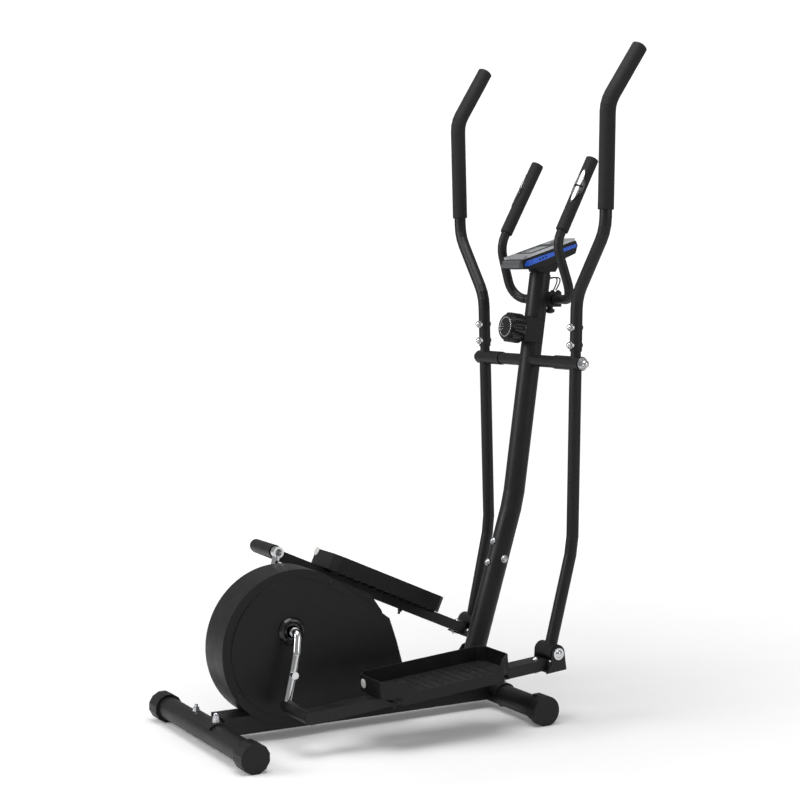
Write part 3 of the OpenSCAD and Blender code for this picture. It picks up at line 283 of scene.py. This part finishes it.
def powder_coat(name, colour, pale_tone):
    made, root = start_material(name)
    peel = grain(root, 1150.0, 2.0)
    patches = grain(root, 22.0, 4.0)
    top_dust_light = dust_and_light_on_top(root, 0.8)
    # Upward faces turn to the pale tone: dust plus painted top light; the rubbed patches
    # are wear.
    shade = two_tone(top_dust_light + spread(patches, 0.4, 0.8, 0.0, 0.25), colour, pale_tone)
    rough = spread(patches, 0.3, 0.7, 0.36, 0.47) + 0.1 * top_dust_light
    bump = root.add(
        "Bump", {},
        {"Height": peel, "Strength": 0.35, "Distance": 0.00025,
         "Normal": rounded(root, 0.0009)},
    )
    return end_material(made, root.add(
        "BsdfPrincipled", {},
        {"Base Color": shade, "Roughness": rough, "Normal": bump,
         "Specular IOR Level": 0.34},
    ))


finish_nodes(tube_nodes, powder_coat("powder_coat", tube_colour, tube_pale_tone))


# --------------------------------------------------------- moulded plastic
# Floor tube caps, tension collar, console shell, clamp and plugs: black
# plastic straight from the mould, with a fine spark-eroded grain.

plastic_colour = (0.007, 0.007, 0.0073)
plastic_pale = (0.019, 0.019, 0.0195)
plastic_nodes = [
    "leveller_right", "leveller_left", "front_caps", "tension_collar",
    "console_neck", "console_body", "handlebar_clamp", "handle_plug_right",
    "handle_plug_left", "swing_bushes_right", "swing_bushes_left",
]


def moulded(name, colour, pale, low, high, grain_scale=2100.0, depth=0.00012,
            round_edge=0.0008):
    made, root = start_material(name)
    cells = grain(root, grain_scale, 1.5, 0.7)
    rubbed = grain(root, 31.0, 5.0)
    top_dust_light = dust_and_light_on_top(root, 0.7)
    # Upward faces are made paler: dust plus painted top light; the rubbed patches are
    # wear.
    shade = two_tone(top_dust_light + spread(rubbed, 0.45, 0.85, 0.0, 0.35), colour, pale)
    rough = spread(rubbed, 0.3, 0.75, low, high) + 0.08 * top_dust_light
    bump = root.add(
        "Bump", {},
        {"Height": cells, "Strength": 0.5, "Distance": depth,
         "Normal": rounded(root, round_edge)},
    )
    return end_material(made, root.add(
        "BsdfPrincipled", {},
        {"Base Color": shade, "Roughness": rough, "Normal": bump,
         "Specular IOR Level": 0.3},
    ))


finish_nodes(
    plastic_nodes,
    moulded("moulded_plastic", plastic_colour, plastic_pale, 0.42, 0.56),
)


# ------------------------------------------------------------ housing shells
# Two big half shells round the drive: matte sides with a broad soft sheen,
# painted top light (with some dust) making them lighter where the rolled rim turns up, and
# a fine leather-like grain.

shell_colour = (0.0055, 0.0055, 0.0058)
shell_pale = (0.015, 0.015, 0.0155)
finish_nodes(
    ["housing_right", "housing_left"],
    moulded("housing_plastic", shell_colour, shell_pale, 0.38, 0.5, 1300.0,
            0.00018, 0.0022),
)


# ---------------------------------------------------------- gloss black parts
# Hub dishes, sensor bezels and the tension knob: polished mould faces
# with hairline scratches and a faint waviness.

gloss_nodes = ["hub_covers", "pulse_bezels", "tension_knob"]


def gloss_black(name):
    made, root = start_material(name)
    hairs = grain(root, 260.0, 2.0, 0.5, (1.0, 1.0, 0.06))
    waves = grain(root, 60.0, 1.0)
    rough = spread(hairs, 0.3, 0.8, 0.12, 0.24)
    shade = two_tone(spread(hairs, 0.6, 0.9, 0.0, 0.4),
                     (0.008, 0.008, 0.0085), (0.03, 0.03, 0.032))
    bump = root.add(
        "Bump", {},
        {"Height": waves, "Strength": 0.25, "Distance": 0.0004,
         "Normal": rounded(root, 0.001)},
    )
    return end_material(made, root.add(
        "BsdfPrincipled", {},
        {"Base Color": shade, "Roughness": rough, "Normal": bump},
    ))


finish_nodes(gloss_nodes, gloss_black("gloss_black"))


# --------------------------------------------------------------- bright metal
# The chrome crank, cap nuts, pins and contact plates, and the duller zinc
# of the screws and inner fasteners. Both show wiping marks.

chrome_nodes = [
    "crank", "pulse_plates", "pivot_nuts", "handle_bolts_right",
    "handle_bolts_left", "pedal_pins_right", "pedal_pins_left",
]
zinc_nodes = [
    "stabiliser_bolts", "stabiliser_nuts", "mast_bolts", "flywheel_axle",
    "crank_bearings",
]


def bright_metal(name, colour, dull, low, high, brushed):
    made, root = start_material(name)
    smears = grain(root, 75.0, 4.0)
    lines = grain(root, 900.0, 2.0, 0.6, brushed)
    rough = spread(smears, 0.35, 0.75, low, high)
    shade = two_tone(spread(smears, 0.4, 0.85, 0.0, 0.5), colour, dull)
    bump = root.add(
        "Bump", {},
        {"Height": lines, "Strength": 0.2, "Distance": 0.00008,
         "Normal": rounded(root, 0.0006)},
    )
    return end_material(made, root.add(
        "BsdfPrincipled", {},
        {"Base Color": shade, "Roughness": rough, "Normal": bump,
         "Metallic": 1.0},
    ))


finish_nodes(
    chrome_nodes,
    bright_metal("chrome", (0.72, 0.73, 0.74), (0.6, 0.61, 0.62), 0.06, 0.16,
                 (1.0, 1.0, 1.0)),
)
finish_nodes(
    zinc_nodes,
    bright_metal("zinc_plate", (0.55, 0.56, 0.58), (0.4, 0.4, 0.4), 0.2, 0.34,
                 (1.0, 1.0, 0.1)),
)
finish_nodes(
    ["clamp_screws", "housing_screws", "pedal_bolts_right", "pedal_bolts_left"],
    powder_coat("black_screws", (0.011, 0.011, 0.012), (0.03, 0.03, 0.03)),
)


# ------------------------------------------------------------ foam handgrips
# Dense black foam sleeves on the swing handles and the fixed handlebar,
# with a matt skin of tiny cells, soft rims and slight unevenness.

foam_voxel = 0.0017
foam_swell = 0.00025
foam_bumps = ((55.0, 0.6), (240.0, 0.4))
foam_pieces = {
    "handle_foam_right": "swing_right",
    "handle_foam_left": "swing_left",
    "fixed_grips": "frame",
}


def foam_material(name):
    made, root = start_material(name)
    cells = root.add(
        "TexVoronoi", {"feature": "F1"},
        {"Vector": place_of(root), "Scale": 900.0}, "Distance",
    )
    pores = grain(root, 2600.0, 2.0)
    worn = grain(root, 26.0, 4.0)
    shade = two_tone(
        spread(worn, 0.35, 0.8, 0.0, 0.45) + spread(cells, 0.5, 0.9, 0.0, 0.35),
        (0.006, 0.006, 0.0063), (0.017, 0.017, 0.0175),
    )
    bump = root.add(
        "Bump", {},
        {"Height": cells + 0.5 * pores, "Strength": 0.5, "Distance": 0.0002},
    )
    return end_material(made, root.add(
        "BsdfPrincipled", {},
        {"Base Color": shade, "Roughness": spread(worn, 0.3, 0.7, 0.62, 0.74),
         "Normal": bump, "Specular IOR Level": 0.3, "Sheen Weight": 0.06,
         "Sheen Roughness": 0.5},
    ))


def closed_copy(name, node):
    """A new object with the shape of a CAD node, its corners joined."""
    copy = bmesh.new()
    copy.from_mesh(frame["nodes"][node].data)
    bmesh.ops.remove_doubles(copy, verts=copy.verts, dist=1e-5)
    data = bpy.data.meshes.new(name)
    copy.to_mesh(data)
    copy.free()
    return link_mesh(name, data)


def apply_modifiers(piece):
    """Bakes a piece's modifiers into its mesh."""
    bpy.context.view_layer.update()
    graph = bpy.context.evaluated_depsgraph_get()
    data = bpy.data.meshes.new_from_object(piece.evaluated_get(graph))
    piece.modifiers.clear()
    piece.data = data


foam_made = foam_material("foam")
for node, body in foam_pieces.items():
    piece = closed_copy(node + "_skin", node)
    remesh = piece.modifiers.new("remesh", "REMESH")
    remesh.mode = "VOXEL"
    remesh.voxel_size = foam_voxel
    relax = piece.modifiers.new("relax", "SMOOTH")
    relax.factor = 0.6
    relax.iterations = 4
    apply_modifiers(piece)
    skin = bmesh.new()
    skin.from_mesh(piece.data)
    skin.normal_update()
    for v in skin.verts:
        uneven = sum(noise.noise(v.co * scale) * part for scale, part in foam_bumps)
        v.co = v.co + v.normal * foam_swell * uneven
    for f in skin.faces:
        f.smooth = True
    skin.to_mesh(piece.data)
    skin.free()
    piece.data.materials.clear()
    piece.data.materials.append(foam_made)
    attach(piece, body)
    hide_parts(node)


# ---------------------------------------------------------------- foot trays
# Black moulded trays with a non-slip tread: fine blunt studs over the
# floor, between the larger ones, and a pale round cap on the rear wall.

finish_nodes(
    ["pedal_tray_right", "pedal_tray_left"],
    moulded("tray_plastic", (0.006, 0.006, 0.0063), (0.02, 0.02, 0.0205),
            0.4, 0.55, 1700.0, 0.00015, 0.001),
)

tray_start = 0.160
tray_length = 0.324
tray_half = 0.0715
tray_wall = 0.003
tread_floor = 0.0051
stud_pitch = 0.005
stud_low = 0.0012
stud_top = 0.0006
stud_height = 0.0008
stud_sink = 0.0002
stud_sides = 8
stud_columns = 13
stud_profile = [(stud_low, -stud_sink), (stud_low, 0.0), (stud_top, stud_height)]
tread_margin = 0.003
corner_cut = 0.032
big_stud_pitch = (tray_length / 15, 0.013)
big_stud_clear = 0.0045
arm_slope = math.radians(1.85)
arm_above_pin = 0.009
arm_out = 0.190
cap_place = {"right": (-0.1509, 0.0202), "left": (0.2191, 0.0316)}
cap_sunk = 0.0005
cap_sides = 48
cap_profile = [
    (0.0095, 0.0), (0.0105, 0.0009), (0.0101, 0.0018), (0.0082, 0.0024),
    (0.0045, 0.0028), (0.0012, 0.0029),
]
joint_of = {j["name"]: j for j in frame["record"]["behaviour"]["joints"]}


def arm_matrix(side_name, side):
    """Frame of a pedal arm: along its top face, from the rear pin."""
    pins = frame["nodes"]["pedal_pins_" + side_name].data.vertices
    ring = [v.co for v in pins if abs(v.co.y) < 0.12]
    pin = sum(ring, Vector()) / len(ring)
    foot = joint_of["pedal_" + side_name + "_pivot"]["pos_m"]
    tilt = math.atan2(foot[2] - pin.z, foot[0] - pin.x)
    start = Vector((
        pin.x - arm_above_pin * math.sin(tilt),
        side * arm_out,
        pin.z + arm_above_pin * math.cos(tilt),
    ))
    return Matrix.Translation(start) @ Matrix.Rotation(arm_slope - tilt, 4, "Y")


def turned_solid(mesh, matrix, profile, sides):
    """Adds a closed solid: a profile of (radius, height) turned about +Z."""
    rings = []
    for radius, height in profile:
        ring = []
        for k in range(sides):
            angle = 2 * math.pi * k / sides
            place = Vector((radius * math.cos(angle), radius * math.sin(angle), height))
            ring.append(mesh.verts.new(matrix @ place))
        rings.append(ring)
    for low, high in zip(rings, rings[1:]):
        for k in range(sides):
            n = (k + 1) % sides
            mesh.faces.new((low[k], low[n], high[n], high[k]))
    mesh.faces.new(list(reversed(rings[0])))
    mesh.faces.new(rings[-1])


def finish_piece(name, mesh, made, body, smooth=False):
    """Puts a mesh in the scene as a piece that rides on a body."""
    for f in mesh.faces:
        f.smooth = smooth
    data = bpy.data.meshes.new(name)
    mesh.to_mesh(data)
    mesh.free()
    data.materials.append(made)
    piece = link_mesh(name, data)
    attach(piece, body)
    return piece


def inside_tread(along, across):
    """Whether a point is on the tray floor, clear of its cut corners."""
    to_end = min(along - tray_start, tray_start + tray_length - along)
    inner = tray_half - tray_wall - tread_margin - abs(across)
    near_end = to_end - tray_wall - tread_margin
    return inner > 0 and near_end > 0 and inner + near_end > corner_cut


def near_big_stud(along, across):
    """Whether a point is too close to one of the tray's larger studs."""
    i = round((along - tray_start) / big_stud_pitch[0])
    j = round(across / big_stud_pitch[1])
    if not (2 <= i <= 13 and -4 <= j <= 4):
        return False
    gap = Vector((
        along - tray_start - i * big_stud_pitch[0], across - j * big_stud_pitch[1]
    ))
    return gap.length < big_stud_clear


tread_made = moulded("tread_plastic", (0.012, 0.012, 0.0125), (0.05, 0.05, 0.052),
                     0.35, 0.5, 1900.0, 0.0001, 0.0003)
cap_made = moulded("cap_plastic", (0.62, 0.62, 0.6), (0.5, 0.5, 0.48), 0.3, 0.42,
                   900.0, 0.0001, 0.0005)
for side_name, side in (("right", -1), ("left", 1)):
    arm = arm_matrix(side_name, side)
    treads = bmesh.new()
    rows = int(tray_length / stud_pitch)
    for i in range(rows):
        for j in range(-stud_columns, stud_columns + 1):
            along = tray_start + (i + 0.5) * stud_pitch
            across = (j + 0.5 * (i % 2)) * stud_pitch
            if not inside_tread(along, across) or near_big_stud(along, across):
                continue
            turned_solid(
                treads, arm @ Matrix.Translation((along, across, tread_floor)),
                stud_profile, stud_sides,
            )
    finish_piece("tray_tread_" + side_name, treads, tread_made,
                 "pedal_" + side_name)
    cap_y, cap_h = cap_place[side_name]
    facing = Matrix.Rotation(math.radians(-90), 4, "Y")
    cap = bmesh.new()
    cap_middle = (tray_start + cap_sunk, cap_y - side * arm_out, cap_h)
    turned_solid(
        cap, arm @ Matrix.Translation(cap_middle) @ facing, cap_profile, cap_sides
    )
    finish_piece("tray_cap_" + side_name, cap, cap_made, "pedal_" + side_name,
                 True)


# --------------------------------------------------------------- knob insert
# Silver ring pressed into the groove in the knob's face, with three short
# bars on one side that show how far the knob has been turned.

knob_face = 0.038
ring_in = 0.0213
ring_out = 0.0237
ring_top = 0.0003
ring_deep = 0.0013
ring_round = 0.0004
ring_sides = 72
bar_half = (0.0008, 0.0045, 0.0004)
bar_out = 0.0145
bar_turns = (-28, 0, 28)
knob_joint = joint_of["tension_knob_turn"]
knob_axis = Vector(knob_joint["axis"])
knob_turn = knob_axis.to_track_quat("Z", "X").to_matrix().to_4x4()
knob_matrix = Matrix.Translation(knob_joint["pos_m"]) @ knob_turn
ring_mesh = bmesh.new()
ring_profile = [
    (ring_in, knob_face - ring_deep), (ring_out, knob_face - ring_deep),
    (ring_out, knob_face), (ring_out - ring_round, knob_face + ring_top),
    (ring_in + ring_round, knob_face + ring_top), (ring_in, knob_face),
]
loops = []
for k in range(ring_sides):
    angle = 2 * math.pi * k / ring_sides
    loops.append([
        ring_mesh.verts.new(
            knob_matrix @ Vector((r * math.cos(angle), r * math.sin(angle), h))
        )
        for r, h in ring_profile
    ])
for k in range(ring_sides):
    first = loops[k]
    second = loops[(k + 1) % ring_sides]
    for i in range(len(ring_profile)):
        n = (i + 1) % len(ring_profile)
        ring_mesh.faces.new((first[i], second[i], second[n], first[n]))
for turned in bar_turns:
    place = knob_matrix @ Matrix.Rotation(math.radians(turned), 4, "Z")
    low, high = [
        [
            ring_mesh.verts.new(place @ Vector((
                x * bar_half[0], bar_out + y * bar_half[1], knob_face + z * bar_half[2]
            )))
            for x, y in ((-1, -1), (1, -1), (1, 1), (-1, 1))
        ]
        for z in (-1, 1)
    ]
    for i in range(4):
        n = (i + 1) % 4
        ring_mesh.faces.new((low[i], low[n], high[n], high[i]))
    ring_mesh.faces.new(list(reversed(low)))
    ring_mesh.faces.new(high)
bmesh.ops.recalc_face_normals(ring_mesh, faces=ring_mesh.faces)
finish_piece(
    "knob_ring", ring_mesh,
    bright_metal("ring_metal", (0.66, 0.67, 0.69), (0.5, 0.5, 0.52), 0.18, 0.3,
                 (1.0, 1.0, 1.0)),
    "tension_knob",
)


# -------------------------------------------------------------------- console
# Silver top with a framed window over a grey display, blue side strips, a
# dark grey heel and a round button beyond the window.


def lacquer(name, colour, pale, low, high, metal):
    made, root = start_material(name)
    flakes = root.add(
        "TexVoronoi", {"feature": "F1"},
        {"Vector": place_of(root), "Scale": 2600.0}, "Color",
    )
    glint = root.add("SeparateColor", {}, {"Color": flakes}, "Red")
    rubbed = grain(root, 48.0, 3.0)
    shade = two_tone(spread(glint, 0.6, 1.0, 0.0, 0.6), colour, pale)
    bump = root.add(
        "Bump", {},
        {"Height": rubbed, "Strength": 0.2, "Distance": 0.0002,
         "Normal": rounded(root, 0.0007)},
    )
    return end_material(made, root.add(
        "BsdfPrincipled", {},
        {"Base Color": shade, "Roughness": spread(rubbed, 0.3, 0.7, low, high),
         "Metallic": metal, "Normal": bump},
    ))


finish_nodes(
    ["console_fascia"],
    lacquer("silver_lacquer", (0.42, 0.43, 0.45), (0.62, 0.63, 0.65), 0.26, 0.36,
            0.6),
)
finish_nodes(
    ["console_trims"],
    lacquer("blue_lacquer", (0.012, 0.10, 0.62), (0.03, 0.17, 0.8), 0.2, 0.3, 0.1),
)
finish_nodes(
    ["console_heel", "mode_button"],
    moulded("grey_plastic", (0.09, 0.095, 0.1), (0.14, 0.145, 0.15), 0.35, 0.5),
)


def window_glass(name):
    made, root = start_material(name)
    smears = grain(root, 90.0, 4.0)
    shade = two_tone(spread(smears, 0.4, 0.8), (0.30, 0.34, 0.33), (0.34, 0.38, 0.37))
    return end_material(made, root.add(
        "BsdfPrincipled", {},
        {"Base Color": shade, "Roughness": spread(smears, 0.3, 0.8, 0.05, 0.14),
         "Coat Weight": 1.0, "Coat Roughness": 0.03},
    ))


finish_nodes(["console_lens"], window_glass("display_window"))

bezel_outer = (0.0365, 0.0315)
bezel_inner = (0.0315, 0.0265)
bezel_low = 0.0023
bezel_high = 0.0036
bezel_drop = 0.0004
bezel_inset = 0.0008
press_axis = joint_of["mode_button_press"]["axis"]
slope = math.atan2(press_axis[0], -press_axis[2])
lens_verts = frame["nodes"]["console_lens"].data.vertices
lens_low = Vector([min(v.co[k] for v in lens_verts) for k in range(3)])
lens_high = Vector([max(v.co[k] for v in lens_verts) for k in range(3)])
lens_matrix = Matrix.Translation((lens_low + lens_high) / 2)
lens_matrix = lens_matrix @ Matrix.Rotation(-slope, 4, "Y")
bezel = bmesh.new()
bezel_loops = []
for (half_x, half_y), height in (
    (bezel_outer, bezel_low), (bezel_outer, bezel_high - bezel_drop),
    ((bezel_outer[0] - bezel_inset, bezel_outer[1] - bezel_inset), bezel_high),
    (bezel_inner, bezel_high), (bezel_inner, bezel_low),
):
    bezel_loops.append([
        bezel.verts.new(lens_matrix @ Vector((x * half_x, y * half_y, height)))
        for x, y in ((-1, -1), (1, -1), (1, 1), (-1, 1))
    ])
for k in range(len(bezel_loops)):
    first = bezel_loops[k]
    second = bezel_loops[(k + 1) % len(bezel_loops)]
    for i in range(4):
        n = (i + 1) % 4
        bezel.faces.new((first[i], first[n], second[n], second[i]))
bmesh.ops.recalc_face_normals(bezel, faces=bezel.faces)
finish_piece(
    "display_frame", bezel,
    moulded("frame_plastic", (0.018, 0.018, 0.019), (0.04, 0.04, 0.042), 0.3, 0.45),
    "frame",
)


# -------------------------------------------------------------- inner drive
# Pulley, belt, flywheel and brackets inside the housing: machined iron,
# ribbed rubber and black painted plate, seen when a shell is taken off.


def belt_rubber(name):
    made, root = start_material(name)
    fibres = grain(root, 700.0, 3.0, 0.6, (1.0, 0.15, 1.0))
    shade = two_tone(spread(fibres, 0.4, 0.8), (0.012, 0.012, 0.012), (0.03, 0.03, 0.03))
    bump = root.add("Bump", {}, {"Height": fibres, "Strength": 0.4, "Distance": 0.0002})
    return end_material(made, root.add(
        "BsdfPrincipled", {},
        {"Base Color": shade, "Roughness": spread(fibres, 0.3, 0.7, 0.6, 0.75),
         "Normal": bump},
    ))


finish_nodes(["drive_belt", "sensor_leads"], belt_rubber("belt_rubber"))
finish_nodes(
    ["flywheel"],
    bright_metal("turned_iron", (0.32, 0.32, 0.33), (0.2, 0.2, 0.2), 0.3, 0.45,
                 (0.05, 1.0, 1.0)),
)
finish_nodes(
    ["drive_frame", "magnet_bracket"],
    powder_coat("inner_paint", (0.03, 0.03, 0.032), (0.05, 0.05, 0.05)),
)
finish_nodes(
    ["drive_pulley"],
    moulded("pulley_plastic", (0.02, 0.02, 0.021), (0.04, 0.04, 0.04), 0.45, 0.6),
)
